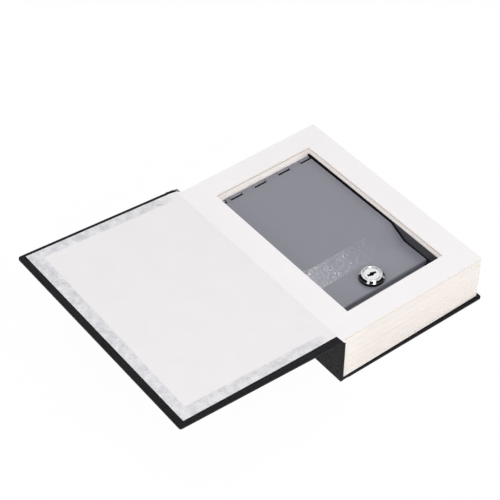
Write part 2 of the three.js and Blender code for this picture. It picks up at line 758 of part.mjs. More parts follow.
const bookSafe = new THREE.Group();
bookSafe.add(...backCover(), backPastedown(), ...spine(), ...pages(), frontCover());
bookSafe.add(boxShell(), strikeLedge(), hingePin(), lid(), lock());

export default bookSafe;
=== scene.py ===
import math
import random

import bmesh
import bpy
from mathutils import Matrix, Vector


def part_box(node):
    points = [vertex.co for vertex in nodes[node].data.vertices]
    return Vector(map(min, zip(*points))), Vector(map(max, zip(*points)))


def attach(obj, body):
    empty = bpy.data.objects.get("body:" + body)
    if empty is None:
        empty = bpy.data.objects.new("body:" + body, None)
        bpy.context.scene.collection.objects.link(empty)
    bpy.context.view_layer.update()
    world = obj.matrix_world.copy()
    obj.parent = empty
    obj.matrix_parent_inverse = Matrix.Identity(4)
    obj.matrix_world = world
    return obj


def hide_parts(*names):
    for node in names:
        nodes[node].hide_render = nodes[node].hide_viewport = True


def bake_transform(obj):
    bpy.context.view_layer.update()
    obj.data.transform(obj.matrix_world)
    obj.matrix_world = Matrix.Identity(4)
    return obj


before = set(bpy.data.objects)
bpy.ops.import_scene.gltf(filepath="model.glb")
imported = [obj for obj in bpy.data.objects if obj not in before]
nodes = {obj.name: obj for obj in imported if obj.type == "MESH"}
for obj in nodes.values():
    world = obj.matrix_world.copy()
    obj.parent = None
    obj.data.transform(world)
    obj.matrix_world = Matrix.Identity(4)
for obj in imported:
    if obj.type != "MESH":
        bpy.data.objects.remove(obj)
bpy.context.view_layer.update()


# Camera, lamps and backdrop: a long lens from the front left, well above the book, in a white light tent.
# Four soft lamps add to an even sky, two small ones put glints on the lid's ramp, the table is white, and
# black cards that only mirrors see darken the sides of the lock.
camera_place = Vector((-0.667136, -0.732227, 0.987459))
camera_azimuth = math.radians(-38.480)
camera_elevation = math.radians(44.477)
camera_roll = math.radians(0.448)
lens_length = 115.0
film_width = 36
sky_overhead = 0.55
sky_at_horizon = 0.66
book_middle = Vector((0, 0, 0.04))
ramp_middle = Vector((-0.045, -0.034, 0.0355))
glint_lamp_size = 0.022
card_ring_radius = 1.15
card_ring_height = 2.0
card_side_height = 1.35
card_side_start = math.radians(80)
card_ring_reach = math.radians(138)
card_window_offset = math.radians(31)
card_window_half = math.radians(11)
card_ring_faces = 120
table_size = 8.0
table_cells = 8
table_glow_share = 0.975

# Each lamp's place, the point it faces, its size and power, and whether it lights surfaces or only glints
lamps = {
    "front_lamp": (Vector((-0.22, -0.88, 1.56)), book_middle, 0.7, 6.4, True),
    "back_lamp": (Vector((-0.13, 0.65, 1.12)), book_middle, 0.6, 1.4, True),
    "fill_lamp": (Vector((0.5, -1.2, 0.55)), book_middle, 0.8, 4.0, True),
    "side_lamp": (Vector((-1.35, -0.25, 0.5)), book_middle, 0.8, 3.2, True),
    "ramp_glint": (Vector((0.178, -0.1605, 0.4605)), ramp_middle, glint_lamp_size, 0.105, False),
    "knee_glint": (Vector((0.188, 0.0445, 0.4705)), ramp_middle, glint_lamp_size, 0.12, False),
}

back = Vector((math.sin(camera_azimuth) * math.cos(camera_elevation),
               -math.cos(camera_azimuth) * math.cos(camera_elevation),
               math.sin(camera_elevation)))
level_right = Vector((math.cos(camera_azimuth), math.sin(camera_azimuth), 0))
level_up = back.cross(level_right)
right = level_right * math.cos(camera_roll) + level_up * math.sin(camera_roll)
up = level_up * math.cos(camera_roll) - level_right * math.sin(camera_roll)
bpy.ops.object.camera_add()
camera = bpy.context.object
camera.data.lens = lens_length
camera.data.sensor_width = film_width
camera.matrix_world = Matrix.Translation(camera_place) @ Matrix((right, up, back)).transposed().to_4x4()
bpy.context.scene.camera = camera
bpy.context.scene.view_settings.view_transform = "Standard"

for name, (place, target, size, power, lights_surfaces) in lamps.items():
    bpy.ops.object.light_add(type="AREA", location=place)
    lamp = bpy.context.object
    lamp.name = name
    lamp.data.shape = "SQUARE"
    lamp.data.size = size
    lamp.data.energy = power
    lamp.rotation_mode = "QUATERNION"
    lamp.rotation_quaternion = (target - place).to_track_quat("-Z", "Y")
    lamp.visible_diffuse = lights_surfaces


def feed(tree, node, values):
    """Gives a node's inputs their numbers and colours, or links other nodes' outputs to them."""
    for name, value in values.items():
        if isinstance(value, bpy.types.NodeSocket):
            tree.links.new(value, node.inputs[name])
        else:
            node.inputs[name].default_value = value


def add_node(tree, kind, values={}, **settings):
    """A shader node with its settings and what its inputs get."""
    node = tree.nodes.new("ShaderNode" + kind)
    for name, value in settings.items():
        setattr(node, name, value)
    feed(tree, node, values)
    return node


def calc(tree, operation, *terms, clamp=False):
    """One step of arithmetic on numbers and outputs."""
    node = add_node(tree, "Math", dict(enumerate(terms)), operation=operation, use_clamp=clamp)
    return node.outputs[0]


def axes_of(tree, vector):
    return add_node(tree, "SeparateXYZ", {0: vector}).outputs


def seen_ray(tree):
    """Full for rays from the camera, off a mirror or through glass, and nothing for light on its way."""
    path = add_node(tree, "LightPath").outputs
    seen = calc(tree, "MAXIMUM", path["Is Camera Ray"], path["Is Glossy Ray"])
    return calc(tree, "MAXIMUM", seen, path["Is Transmission Ray"])


# The sky is white where it is seen; as a light it is softer, and brighter towards the horizon, so that
# upright faces get their share
world = bpy.data.worlds.new("light_tent")
bpy.context.scene.world = world
world.use_nodes = True
sky = world.node_tree
sky.nodes.clear()
height_in_sky = axes_of(sky, add_node(sky, "TexCoord").outputs["Generated"])["Z"]
toward_horizon = calc(sky, "POWER", calc(sky, "SUBTRACT", 1.0, height_in_sky, clamp=True), 2.0)
as_light = calc(sky, "MULTIPLY_ADD", toward_horizon, sky_at_horizon, sky_overhead)
strength = add_node(sky, "MapRange", {"Value": seen_ray(sky), "To Min": as_light, "To Max": 1.0})
tent = add_node(sky, "Background", {"Color": (1, 1, 1, 1), "Strength": strength.outputs["Result"]})
add_node(sky, "OutputWorld", {"Surface": tent.outputs[0]})

# The table keeps the book's shadow, but most of what the camera sees of it is the tent's white
bpy.ops.mesh.primitive_grid_add(x_subdivisions=table_cells, y_subdivisions=table_cells, size=table_size)
table = bpy.context.object
table.name = "table_top"
table_white = bpy.data.materials.new("table_white")
table_white.use_nodes = True
tree = table_white.node_tree
tree.nodes.clear()
share = calc(tree, "MULTIPLY", seen_ray(tree), table_glow_share)
paint = add_node(tree, "BsdfDiffuse", {"Color": (0.95, 0.95, 0.95, 1)})
glow = add_node(tree, "Emission", {"Color": (1, 1, 1, 1), "Strength": 1.0})
mix = add_node(tree, "MixShader", {"Fac": share, 1: paint.outputs[0], 2: glow.outputs[0]})
add_node(tree, "OutputMaterial", {"Surface": mix.outputs[0]})
table.data.materials.append(table_white)


def object_mode():
    bpy.ops.object.mode_set(mode="OBJECT")


def start_clean():
    """Back in object mode with nothing selected."""
    if bpy.context.object and bpy.context.object.mode != "OBJECT":
        object_mode()
    bpy.ops.object.select_all(action="DESELECT")


def only(piece):
    """Selects one piece alone and makes it the active one."""
    start_clean()
    piece.select_set(True)
    bpy.context.view_layer.objects.active = piece


def edit_all(piece):
    """Opens one piece in edit mode with all its points selected."""
    only(piece)
    bpy.ops.object.mode_set(mode="EDIT")
    bpy.ops.mesh.select_mode(type="VERT")
    bpy.ops.mesh.select_all(action="SELECT")


def pick(piece, kind, test):
    """Opens one piece in edit mode with the edges or faces selected that pass a test."""
    edit_all(piece)
    bpy.ops.mesh.select_mode(type=kind)
    bpy.ops.mesh.select_all(action="DESELECT")
    mesh = bmesh.from_edit_mesh(piece.data)
    for item in mesh.edges if kind == "EDGE" else mesh.faces:
        if test(item):
            item.select_set(True)
    bmesh.update_edit_mesh(piece.data)


# Black cards stand round the camera's side of the table, lower at the sides and with two gaps between them
toward_camera = Vector((back.x, back.y, 0)).normalized()


def off_camera(point):
    """How far round the table a point lies from the camera's direction."""
    return Vector((point.x, point.y, 0)).angle(toward_camera)


def between_cards(face):
    away = off_camera(face.calc_center_median())
    return away > card_ring_reach or abs(away - card_window_offset) < card_window_half


bpy.ops.mesh.primitive_cylinder_add(vertices=card_ring_faces, radius=card_ring_radius, depth=card_ring_height,
                                    end_fill_type="NOTHING", location=(0, 0, card_ring_height / 2))
cards = bpy.context.object
cards.name = "black_cards"
for vertex in cards.data.vertices:
    if vertex.co.z > 0 and off_camera(vertex.co) > card_side_start:
        vertex.co.z -= card_ring_height - card_side_height
pick(cards, "FACE", between_cards)
bpy.ops.mesh.delete(type="FACE")
object_mode()
cards.visible_camera = False
cards.visible_diffuse = False
cards.visible_transmission = False
cards.visible_shadow = False
card_black = bpy.data.materials.new("card_black")
card_black.use_nodes = True
feed(card_black.node_tree, card_black.node_tree.nodes["Principled BSDF"],
     {"Base Color": (0.01, 0.01, 0.01, 1), "Roughness": 1.0, "Specular IOR Level": 0.0})
cards.data.materials.append(card_black)


# Back cover: a grey board wrapped in black leatherette, which is glued on outside and turned in over the
# edges. The board is hidden between the leatherette and the paste-down; only the skin shows.
skin_thickness = 0.00035
glue_gap = 0.0001
board_thickness = 0.0022
cover_height = 2 * (skin_thickness + glue_gap) + board_thickness
cover_half_length = 0.1133
board_half = cover_half_length - skin_thickness
turn_in = 0.014
inner_end = cover_half_length - turn_in
board_corner = 0.0015
board_edge = 0.0002
skin_corner = 0.002
skin_edge = 0.0007
back_cover_left = -0.07065
back_cover_right = 0.0783
groove_left = -0.07545
groove_bottom = 0.0005
groove_inset = 0.0003
groove_lap = 0.0012
face_gap = 0.00002
overrun = 0.001
touch = 1e-6
case_skew = 0.0142


def fix_place(piece):
    """Puts a piece's place, turn and scale into its mesh."""
    only(piece)
    bpy.ops.object.transform_apply(location=True, rotation=True, scale=True)


def block(name, low, high):
    """A box between two corners."""
    start_clean()
    bpy.ops.mesh.primitive_cube_add(size=1, location=[(a + b) / 2 for a, b in zip(low, high)])
    piece = bpy.context.object
    piece.name = name
    piece.scale = [b - a for a, b in zip(low, high)]
    fix_place(piece)
    return piece


def slab(name, left, right, half_length, bottom, top):
    """A box that lies across the middle of the book's length, as far to the head as to the tail."""
    return block(name, (left, -half_length, bottom), (right, half_length, top))


def rise(edge):
    return abs(edge.verts[0].co.z - edge.verts[1].co.z)


def round_picked(radius, segments):
    bpy.ops.mesh.bevel(offset=radius, segments=segments, affect="EDGES")
    object_mode()


def round_uprights(piece, radius, segments=6, shortest=10 * touch):
    """Rounds the edges that stand along Z and are long enough."""
    pick(piece, "EDGE", lambda edge: rise(edge) > shortest)
    round_picked(radius, segments)


def round_level_edges(piece, radius, segments=4, below=math.inf):
    """Rounds the sharp edges that run level and lie below a height."""
    pick(piece, "EDGE", lambda edge: rise(edge) < touch and edge.calc_face_angle(0) > 1.0
         and max(vertex.co.z for vertex in edge.verts) < below)
    round_picked(radius, segments)


def use_modifier(piece, kind, **settings):
    """Adds a modifier and applies it."""
    only(piece)
    modifier = piece.modifiers.new(kind.lower(), kind)
    for name, value in settings.items():
        setattr(modifier, name, value)
    bpy.ops.object.modifier_apply(modifier=modifier.name)


def cut_away(piece, *others, operation="DIFFERENCE"):
    for other in others:
        use_modifier(piece, "BOOLEAN", operation=operation, object=other, solver="EXACT")
        bpy.data.objects.remove(other)


def weld_on(piece, *others):
    cut_away(piece, *others, operation="UNION")


def shade(piece, angle=50):
    """Shades a piece smooth up to an angle and lets its large faces keep their own shading."""
    only(piece)
    bpy.ops.object.shade_smooth_by_angle(angle=math.radians(angle))
    use_modifier(piece, "WEIGHTED_NORMAL", weight=50, keep_sharp=True)


def soften(piece, width, angle=40):
    """Breaks every sharp edge a little."""
    use_modifier(piece, "BEVEL", width=width, segments=2, limit_method="ANGLE",
                 angle_limit=math.radians(angle))
    shade(piece)


def skewed(piece, far, near=-1.0):
    """The case sits askew on the pages: the nearer the hinge, the further its parts lie towards the head."""
    for vertex in piece.data.vertices:
        vertex.co.y += case_skew * (far - max(vertex.co.x, near))


def cover_skin(name, left, right, bottom, open_above, *welded):
    """A cover's skin with room for its board, open above or below between its turned-in edges."""
    top = bottom + cover_height
    skin = slab(name, left, right, cover_half_length, bottom, top)
    round_uprights(skin, skin_corner)
    round_level_edges(skin, skin_edge)
    weld_on(skin, *welded)
    room = slab("board_room", left + skin_thickness, right - skin_thickness, board_half,
                bottom + skin_thickness, top - skin_thickness)
    round_uprights(room, board_corner)
    low = bottom + skin_thickness * 2 if open_above else bottom - overrun
    high = top + overrun if open_above else top - skin_thickness * 2
    opening = slab("between_turn_ins", left + skin_thickness, right - turn_in, inner_end, low, high)
    cut_away(skin, room, opening)
    return skin


def dress(piece, material, body, slot, *replaced):
    """Gives a piece its material, the body it moves with and the nodes it stands for; the slot is not used."""
    piece.data.materials.clear()
    piece.data.materials.append(material)
    if body:
        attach(piece, body)
    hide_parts(*replaced)


def new_material(name, colour, roughness, metallic=0.0):
    material = bpy.data.materials.new(name)
    material.use_nodes = True
    shader = material.node_tree.nodes["Principled BSDF"]
    tree = material.node_tree
    feed(tree, shader, {"Base Color": (*colour, 1), "Roughness": roughness, "Metallic": metallic})
    return material, tree, shader


def new_effect(name, inputs, outputs):
    """An empty node group with a Vector and named number inputs, and number outputs."""
    group = bpy.data.node_groups.new(name, "ShaderNodeTree")
    group.interface.new_socket("Vector", in_out="INPUT", socket_type="NodeSocketVector")
    for socket_name in inputs:
        group.interface.new_socket(socket_name, in_out="INPUT", socket_type="NodeSocketFloat")
    for socket_name in outputs:
        group.interface.new_socket(socket_name, in_out="OUTPUT", socket_type="NodeSocketFloat")
    return group, group.nodes.new("NodeGroupInput").outputs, group.nodes.new("NodeGroupOutput")


def effect(tree, group, vector, **values):
    """The outputs of a node group at a place."""
    return add_node(tree, "Group", {"Vector": vector, **values}, node_tree=group).outputs


def noise(tree, vector, scale, detail, roughness, output="Fac"):
    values = {"Vector": vector, "Scale": scale, "Detail": detail, "Roughness": roughness}
    return add_node(tree, "TexNoise", values).outputs[output]


def sum_of(tree, *parts):
    """Adds up outputs, each with its share."""
    total = 0.0
    for output, amount in parts:
        total = calc(tree, "MULTIPLY_ADD", output, amount, total)
    return total


def remap(tree, value, low, high, to_low=0.0, to_high=1.0):
    values = {"Value": value, "From Min": low, "From Max": high, "To Min": to_low, "To Max": to_high}
    return add_node(tree, "MapRange", values).outputs["Result"]


def tint(tree, factor, dark, light):
    """A colour between two by a factor. Each of the two is a plain colour or another node's output."""
    first, second = [(*colour, 1) if isinstance(colour, tuple) else colour for colour in (dark, light)]
    node = add_node(tree, "Mix", {"Factor": factor, "A": first, "B": second}, data_type="RGBA")
    return node.outputs["Result"]


def bump(tree, height, depth, strength):
    values = {"Height": height, "Distance": depth, "Strength": strength}
    return add_node(tree, "Bump", values).outputs["Normal"]


def own_place(tree, place=(0, 0, 0), scale=(1, 1, 1)):
    """Object coordinates from a place on the piece, in units of a scale."""
    source = add_node(tree, "TexCoord").outputs["Object"]
    values = {"Vector": source, "Location": place, "Scale": scale}
    return add_node(tree, "Mapping", values, vector_type="TEXTURE").outputs["Vector"]


# Leather grain: pebbles of about a millimetre with creases between them, and fine pores on top
leather_grain, grain_in, grain_out = new_effect("leather_grain", ("Pebbles",), ("Height", "Crease"))
warp = noise(leather_grain, grain_in["Vector"], 420.0, 2.0, 0.5, "Color")
warped = add_node(leather_grain, "Mix", {"Factor": 0.0003, "A": grain_in["Vector"], "B": warp},
                  data_type="VECTOR").outputs[1]
cells = add_node(leather_grain, "TexVoronoi", {"Vector": warped, "Scale": 1050.0, "Smoothness": 0.5},
                 feature="SMOOTH_F1").outputs["Distance"]
pores = noise(leather_grain, grain_in["Vector"], 2600.0, 3.0, 0.6)
pebble = remap(leather_grain, cells, 0.1, 0.75, 1.0, 0.0)
raised = calc(leather_grain, "MULTIPLY", pebble, grain_in["Pebbles"])
feed(leather_grain, grain_out, {"Height": sum_of(leather_grain, (raised, 0.8), (pores, 0.3)),
                                "Crease": remap(leather_grain, pebble, 0.0, 0.5, 1.0, 0.0)})

# Fibre: the cloudy felt of paper and board, with short specks
paper_fibre, fibre_in, fibre_out = new_effect("paper_fibre", ("Scale",), ("Height", "Cloud"))
feed(paper_fibre, fibre_out, {"Height": noise(paper_fibre, fibre_in["Vector"], fibre_in["Scale"], 5.0, 0.65),
                              "Cloud": noise(paper_fibre, fibre_in["Vector"], 38.0, 4.0, 0.6)})

# Grey board: pressed waste paper with darker and lighter flecks
board_fibre_depth = 0.0002
grey_board, tree, shader = new_material("grey_board", (0.27, 0.255, 0.225), 0.95)
fibre = effect(tree, paper_fibre, own_place(tree), Scale=1400.0)
flecks = remap(tree, noise(tree, own_place(tree), 700.0, 6.0, 0.75), 0.42, 0.62)
feed(tree, shader, {"Base Color": tint(tree, flecks, (0.20, 0.185, 0.16), (0.36, 0.34, 0.30)),
                    "Normal": bump(tree, fibre["Height"], board_fibre_depth, 0.6)})

# Black leatherette: soft satin pebbles, duller in the creases and darker there as painted shade, with a
# faint uneven bloom
grain_depth = 0.00022
leatherette, tree, shader = new_material("black_leatherette", (0.022, 0.020, 0.024), 0.5)
grain = effect(tree, leather_grain, own_place(tree), Pebbles=1.0)
bloom = noise(tree, own_place(tree), 30.0, 4.0, 0.6)
bloom_and_crease_shade = remap(tree, sum_of(tree, (bloom, 0.6), (grain["Crease"], -0.35)), -0.1, 0.5)
feed(tree, shader, {"Specular IOR Level": 0.1,
                    "Base Color": tint(tree, bloom_and_crease_shade, (0.005, 0.0047, 0.006), (0.014, 0.0132, 0.0155)),
                    "Roughness": remap(tree, grain["Crease"], 0.0, 1.0, 0.46, 0.68),
                    "Normal": bump(tree, grain["Height"], grain_depth, 0.8)})

back_core = block("back_core", *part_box("back_board"))
round_uprights(back_core, board_corner)
skewed(back_core, back_cover_right)
soften(back_core, board_edge)
dress(back_core, grey_board, "book", "board", "back_board")

groove = slab("back_groove", groove_left, back_cover_left + groove_lap, cover_half_length - groove_inset,
              groove_bottom, cover_height - face_gap)
round_uprights(groove, groove_inset, 2)
back_skin = cover_skin("back_cover_leatherette", back_cover_left, back_cover_right, 0, True, groove)
skewed(back_skin, back_cover_right)
shade(back_skin)
dress(back_skin, leatherette, "book", "cover_cloth", "back_cover_cloth")


# Spine and front joint: the same skin goes up over the spine board, bends out at its top, crosses the soft
# joint and runs on to the front board.
spine_outer = -0.0782
spine_inner = -0.0751
spine_board_top = 0.048575
spine_board_edge = 0.0003
spine_window_left = spine_inner - skin_thickness * 1.5
spine_window_bottom = 0.0026
spine_lip_height = 0.0003
hinge_x = -0.0797
hinge_z = 0.0494
open_turn = math.radians(-174.4)
joint_x = spine_outer + 0.0002
joint_bottom = 0.044
joint_border = 0.0007
flare_radius = 0.001
flare_z = 0.04885
cover_place = Matrix.Translation((hinge_x, 0, hinge_z)) @ Matrix.Rotation(open_turn, 4, "Y")

# X and Z of the fold from the flare to the cover, and the steps along the cover from the hinge line
joint_fold = [(-0.07930, 0.04886), (-0.07945, 0.04890), (-0.07956, 0.04897), (-0.07963, 0.04907),
              (-0.07968, 0.04918), (-0.07974, 0.04929), (-0.07983, 0.04937), (-0.07995, 0.04942)]
joint_steps = (0.0004, 0.0006, 0.0009, 0.0015, 0.003, 0.005, 0.0079)


def extrude(step):
    bpy.ops.mesh.extrude_region_move(TRANSFORM_OT_translate={"value": Vector(step)})


def chain(name, points):
    """A row of edges through the points, pulled out of one vertex."""
    start_clean()
    bpy.ops.mesh.primitive_plane_add(size=0.001, location=points[0])
    piece = bpy.context.object
    piece.name = name
    fix_place(piece)
    edit_all(piece)
    bpy.ops.mesh.merge(type="CENTER")
    for before, point in zip(points, points[1:]):
        extrude(Vector(point) - Vector(before))
    object_mode()
    return piece


def pull(piece, *steps):
    """Extrudes the whole of a chain sideways, one step after another."""
    edit_all(piece)
    for step in steps:
        extrude(step)
    object_mode()


def face_out(piece):
    """Merges doubles and turns all faces outwards."""
    edit_all(piece)
    bpy.ops.mesh.remove_doubles(threshold=touch)
    bpy.ops.mesh.normals_make_consistent(inside=False)
    object_mode()


def thicken(piece, thickness, offset=0):
    use_modifier(piece, "SOLIDIFY", thickness=thickness, offset=offset, use_even_offset=True)
    face_out(piece)


def arc(centre, radius, start, end, steps):
    """Points of an arc in a plane, its angles in degrees."""
    angles = [math.radians(start + (end - start) * i / steps) for i in range(steps + 1)]
    return [(centre[0] + radius * math.cos(angle), centre[1] + radius * math.sin(angle)) for angle in angles]


def on_open_cover(along, height=0):
    """X and Z of a point that is given from the hinge line in the shut cover's frame."""
    point = cover_place @ Vector((along, 0, height))
    return point.x, point.z


spine_core = block("spine_core", *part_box("spine_board"))
round_level_edges(spine_core, spine_board_edge, 2)
skewed(spine_core, back_cover_right)
shade(spine_core)
dress(spine_core, grey_board, "book", "board", "spine_board")

spine_skin = slab("spine_leatherette", spine_outer, spine_inner, cover_half_length, 0, spine_board_top)
round_level_edges(spine_skin, skin_edge, below=skin_edge)
round_uprights(spine_skin, skin_edge, 4, shortest=spine_board_top / 2)
joint_line = [(joint_x, joint_bottom)]
joint_line += arc((joint_x - flare_radius, flare_z - flare_radius), flare_radius, 0, 90, 6)
joint_line += joint_fold + [on_open_cover(along) for along in joint_steps]
joint_skin = chain("joint_skin", [(x, -cover_half_length, z) for x, z in joint_line])
pull(joint_skin, (0, joint_border, 0), (0, 2 * cover_half_length - 2 * joint_border, 0), (0, joint_border, 0))
thicken(joint_skin, skin_thickness)
weld_on(spine_skin, joint_skin)
spine_room = slab("spine_room", spine_outer + skin_thickness, spine_inner - skin_thickness, board_half,
                  skin_thickness, spine_board_top + glue_gap)
spine_window = slab("spine_window", spine_window_left, spine_inner + overrun, inner_end,
                    spine_window_bottom, spine_board_top + overrun)
spine_lip = slab("spine_lip", spine_window_left, spine_inner + overrun, cover_half_length + overrun,
                 spine_board_top - spine_lip_height, spine_board_top + overrun)
cut_away(spine_skin, spine_room, spine_window, spine_lip)
skewed(spine_skin, back_cover_right, spine_outer)
shade(spine_skin)
dress(spine_skin, leatherette, None, "cover_cloth", "spine_cloth")
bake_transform(spine_skin)


# Front cover: board and skin as on the back cover, drawn shut in its own frame from the hinge line, then
# laid open. Its turned-in edges show as soft bands under the white paper.
cover_reach = 0.1592
front_bottom = -0.0005
front_left = 0.00755
board_bottom = -0.00005
tab_left = 0.0048
tab_lap = 0.0008
cover_skew = 0.007
mitre_reach = 0.012
mitre_width = 0.00025
mitre_depth = 0.0002
mitre_overrun = 0.0005


def lay_open(piece):
    piece.matrix_world = cover_place
    fix_place(piece)


tabs = [block("joint_turn_in", (tab_left, low, front_bottom + face_gap),
              (front_left + tab_lap, high, front_bottom + skin_thickness))
        for low, high in ((-cover_half_length, -inner_end), (inner_end, cover_half_length))]
front_skin = cover_skin("front_cover_leatherette", front_left, cover_reach, front_bottom, False, *tabs)
for end in (-1, 1):
    blade = block("mitre", (-mitre_reach, -mitre_width / 2, front_bottom - mitre_overrun),
                  (mitre_reach, mitre_width / 2, front_bottom + mitre_depth))
    blade.rotation_euler.z = end * math.radians(45)
    blade.location = (cover_reach, end * cover_half_length, 0)
    fix_place(blade)
    cut_away(front_skin, blade)
for vertex in front_skin.data.vertices:
    vertex.co.x += vertex.co.x / cover_reach * cover_skew * (cover_half_length - vertex.co.y)
skewed(front_skin, cover_reach)
lay_open(front_skin)
shade(front_skin)
dress(front_skin, leatherette, "front_cover", "cover_cloth", "front_cover_cloth")

skin_and_glue = skin_thickness + glue_gap
front_core = slab("front_core", front_left + skin_and_glue, cover_reach - skin_and_glue,
                  board_half - glue_gap, board_bottom, board_bottom + board_thickness)
round_uprights(front_core, board_corner)
skewed(front_core, cover_reach)
lay_open(front_core)
soften(front_core, board_edge)
dress(front_core, grey_board, "front_cover", "board", "front_board")


# Page block: about a hundred and fifty glued leaves, trimmed on three sides, with the window die-cut
# through them, and a thick cream card on top that stiffens the edge of the window.
page_half_width = 0.075
page_half_length = 0.110
window_left = -0.0535
window_right = 0.0515
window_tail = -0.0875
window_head = 0.088
leaves_bottom = 0.00355
leaves_top = 0.0462
leaf_count = 150
leaf_pitch = (leaves_top - leaves_bottom) / leaf_count
leaf_share = 0.94
leaf_scatter = 0.00004
card_bottom = 0.04655
card_top = 0.0479
card_edge = 0.00015
tail_skew = 0.0087
tail_zone = window_tail - 0.01

# Page edges: cream paper with faint lines of single leaves. Inside the window they are painted paler and
# glow a little, both painted light, and a brown line along the joint under the card is painted shade
line_depth = 0.00006
page_cream, tree, shader = new_material("cream_page_edges", (0.78, 0.73, 0.68), 0.9)
page_axes = axes_of(tree, own_place(tree, scale=(page_half_width, page_half_length, 1)))
off_edges = [remap(tree, calc(tree, "ABSOLUTE", page_axes[axis]), 0.985, 0.990, 1.0, 0.0) for axis in "XY"]
inside_window_painted_light = calc(tree, "MULTIPLY", *off_edges)
off_painted_shadow_line = calc(tree, "ABSOLUTE", axes_of(tree, own_place(tree, (0, 0, (leaves_top + card_bottom) / 2)))["Z"])
painted_shadow_line = remap(tree, off_painted_shadow_line, 0.0003, 0.0005, 1.0, 0.0)
lines = noise(tree, own_place(tree, scale=(0.6, 0.6, 0.0007)), 1.0, 4.0, 0.7)
broad = noise(tree, own_place(tree, scale=(0.3, 0.3, 0.006)), 1.0, 3.0, 0.6)
line_mask = remap(tree, sum_of(tree, (lines, 0.6), (broad, 0.4)), 0.3, 0.7)
fibre = effect(tree, paper_fibre, own_place(tree), Scale=1800.0)
outer_cream = tint(tree, line_mask, (0.806, 0.755, 0.717), (0.813, 0.763, 0.725))
# Paler cream inside the window is painted light, and the brown line under the card is painted shade
inner_cream_painted_light_and_shade = tint(tree, painted_shadow_line, (0.875, 0.84, 0.815), (0.46, 0.37, 0.31))
# The faint glow inside the window is painted light
painted_glow = tint(tree, line_mask, (0.95, 0.87, 0.83), (1.0, 0.93, 0.90))
line_height = sum_of(tree, (lines, 1.0), (fibre["Height"], 0.3))
feed(tree, shader, {"Base Color": tint(tree, inside_window_painted_light, outer_cream, inner_cream_painted_light_and_shade), "Emission Strength": 0.14,
                    "Emission Color": tint(tree, inside_window_painted_light, (0, 0, 0), painted_glow),
                    "Normal": bump(tree, line_height, line_depth, 0.12)})


def in_window(face):
    xs = [vertex.co.x for vertex in face.verts]
    ys = [vertex.co.y for vertex in face.verts]
    return (min(xs) > window_left - touch and max(xs) < window_right + touch
            and min(ys) > window_tail - touch and max(ys) < window_head + touch)


def open_window(sheet):
    pick(sheet, "FACE", in_window)
    bpy.ops.mesh.delete(type="FACE")
    object_mode()


def windowed_sheet(name, bottom, top):
    """A flat sheet with the window cut out, thickened, and trimmed askew at the tail."""
    start_clean()
    bpy.ops.mesh.primitive_plane_add(size=1, location=(0, 0, bottom))
    sheet = bpy.context.object
    sheet.name = name
    sheet.scale = (2 * page_half_width, 2 * page_half_length, 1)
    fix_place(sheet)
    edit_all(sheet)
    for place, normal in (((window_left, 0, 0), (1, 0, 0)), ((window_right, 0, 0), (1, 0, 0)),
                          ((0, window_tail, 0), (0, 1, 0)), ((0, window_head, 0), (0, 1, 0))):
        bpy.ops.mesh.select_all(action="SELECT")
        bpy.ops.mesh.bisect(plane_co=place, plane_no=normal)
    open_window(sheet)
    use_modifier(sheet, "SOLIDIFY", thickness=top - bottom, offset=1)
    for vertex in sheet.data.vertices:
        if vertex.co.y < tail_zone:
            vertex.co.y += tail_skew * (page_half_width - vertex.co.x)
    face_out(sheet)
    return sheet


random.seed(31)
leaf = windowed_sheet("page_leaves", leaves_bottom, leaves_bottom + leaf_pitch * leaf_share)
copies = []
for index in range(1, leaf_count):
    copy = leaf.copy()
    copy.data = leaf.data.copy()
    bpy.context.scene.collection.objects.link(copy)
    copy.location = (random.gauss(0, leaf_scatter), random.gauss(0, leaf_scatter), leaf_pitch * index)
    copies.append(copy)
only(leaf)
for copy in copies:
    copy.select_set(True)
bpy.ops.object.join()
fix_place(leaf)
dress(leaf, page_cream, "book", "pages", "page_block")

card = windowed_sheet("window_card", card_bottom, card_top)
soften(card, card_edge)
dress(card, page_cream, "book", "card", "top_card")


# Endpapers: white sheets that cover the boards' inner sides. The back one carries the pages. The front one
# is a single sheet, pasted on the card round the window, carried over the joint and pasted down in the
# front cover.
paper_thickness = 0.00012
page_top = 0.04825
paste_end = 0.1551
paste_fore_skew = 0.0066
paste_fore_zone = paste_end - 0.0005
paste_tail_at_hinge = -0.1060
paste_tail_at_fore = -0.1091
paste_tail_start_x = -0.0785
paste_head = 0.1098
paste_head_start_x = -0.0775
joint_end = 0.1146
joint_start_x = -0.0749
skew_start_x = -0.0748
skew_run = 0.003
cover_face = -0.00085
band_sink = 0.0003
band_slope = 0.0008
sunk_start = 0.0095
sunk_end = cover_reach - turn_in
quarter_length = 0.045

# White paper on the back board: smooth and faintly cloudy
fibre_depth = 0.0001
card_white, tree, shader = new_material("white_card", (0.90, 0.875, 0.85), 0.85)
fibre = effect(tree, paper_fibre, own_place(tree), Scale=1500.0)
cloudy = remap(tree, fibre["Cloud"], 0.35, 0.65)
feed(tree, shader, {"Base Color": tint(tree, cloudy, (0.88, 0.85, 0.825), (0.92, 0.895, 0.87)),
                    "Normal": bump(tree, fibre["Height"], fibre_depth, 0.4)})
back_paper = nodes["back_pastedown"]
back_paper.data.materials.clear()
back_paper.data.materials.append(card_white)
